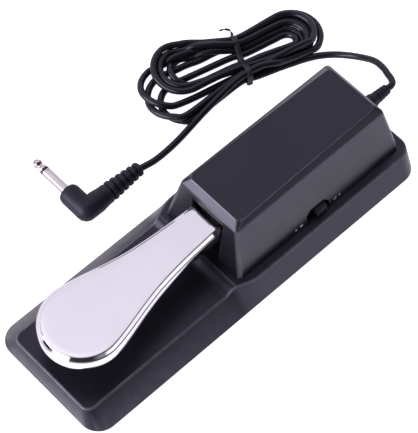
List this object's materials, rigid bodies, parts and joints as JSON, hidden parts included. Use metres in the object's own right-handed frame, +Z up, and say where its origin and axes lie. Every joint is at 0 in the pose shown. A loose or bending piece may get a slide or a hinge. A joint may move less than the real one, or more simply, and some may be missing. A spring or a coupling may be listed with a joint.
{
  "type": "sustain pedal",
  "caption": "Piano-style sustain pedal: chrome foot pedal on a sprung hinge in a black housing and base, with a polarity slide switch, tied cord and right-angle plug.",
  "frame": {"origin": "on the floor under the middle of the base", "axes": "+Z up; +Y along the base from the pedal's nose to the cord's exit; +X to the side with the polarity switch"},
  "size_m": [0.1773, 0.3023, 0.0635],
  "materials": {
    "shell_plastic": "satin, lightly textured",
    "bottom_steel": "satin",
    "foot_rubber": "matte",
    "screw_steel": "zinc plated",
    "pedal_chrome": "mirror polished",
    "spring_steel": "drawn wire",
    "nylon": "satin",
    "felt": "pressed felt",
    "switch_plastic": "satin",
    "board": "solder mask",
    "red_wire": "smooth",
    "black_wire": "smooth",
    "cord_jacket": "satin",
    "moulded_rubber": "matte",
    "tie": "satin",
    "plug_nickel": "polished nickel"
  },
  "bodies": {
    "base": {"base_shell": "shell_plastic", "bottom_plate": "bottom_steel", "rubber_foot_1": "foot_rubber", "rubber_foot_2": "foot_rubber", "rubber_foot_3": "foot_rubber", "rubber_foot_4": "foot_rubber", "base_screw_1": "screw_steel", "base_screw_2": "screw_steel", "base_screw_3": "screw_steel", "base_screw_4": "screw_steel", "base_screw_5": "screw_steel", "base_screw_6": "screw_steel", "housing_shell": "shell_plastic", "housing_screw_1": "screw_steel", "housing_screw_2": "screw_steel", "housing_screw_3": "screw_steel", "housing_screw_4": "screw_steel", "bracket": "bottom_steel", "bracket_screw_1": "screw_steel", "bracket_screw_2": "screw_steel", "bracket_screw_3": "screw_steel", "bracket_screw_4": "screw_steel", "pivot_axle": "screw_steel", "bushing_1": "nylon", "bushing_2": "nylon", "retaining_ring_1": "screw_steel", "retaining_ring_2": "screw_steel", "return_spring": "spring_steel", "spring_seat": "nylon", "rest_stop": "felt", "down_stop": "foot_rubber", "micro_switch": "switch_plastic", "micro_switch_screw_1": "screw_steel", "micro_switch_screw_2": "screw_steel", "polarity_board": "board", "board_screw_1": "screw_steel", "board_screw_2": "screw_steel", "slide_switch": "switch_plastic", "switch_wire_1": "red_wire", "switch_wire_2": "black_wire", "cord_wire_1": "red_wire", "cord_wire_2": "black_wire", "cord_boot": "moulded_rubber", "cord_tail": "cord_jacket", "cord_coil": "cord_jacket", "cord_tie": "tie", "cord_lead": "cord_jacket", "plug_body": "moulded_rubber", "plug_sleeve": "plug_nickel", "plug_insulator": "switch_plastic", "plug_tip": "plug_nickel"},
    "pedal": {"pedal_plate": "pedal_chrome", "lever": "bottom_steel", "pedal_nut_1": "screw_steel", "pedal_nut_2": "screw_steel"},
    "plunger": {"switch_plunger": "nylon"},
    "knob": {"slide_knob": "switch_plastic"}
  },
  "joints": [
    {"name": "pedal_pivot", "type": "hinge", "parent": "base", "child": "pedal", "pos_m": [0, 0.065, 0.041], "axis": [1, 0, 0], "range_deg": [0, 5.5], "stiffness_Nm_per_rad": 12, "springref_deg": -8.59, "deforming": ["return_spring"]},
    {"name": "switch_plunge", "type": "slide", "parent": "base", "child": "plunger", "axis": [0, 0, 1], "range_m": [-0.0016, 0]},
    {"name": "polarity_slide", "type": "slide", "parent": "base", "child": "knob", "axis": [0, 1, 0], "range_m": [-0.004, 0]}
  ],
  "couplings": [
    {"joint": "switch_plunge", "follows": "pedal_pivot", "m_per_rad": -0.0158}
  ]
}
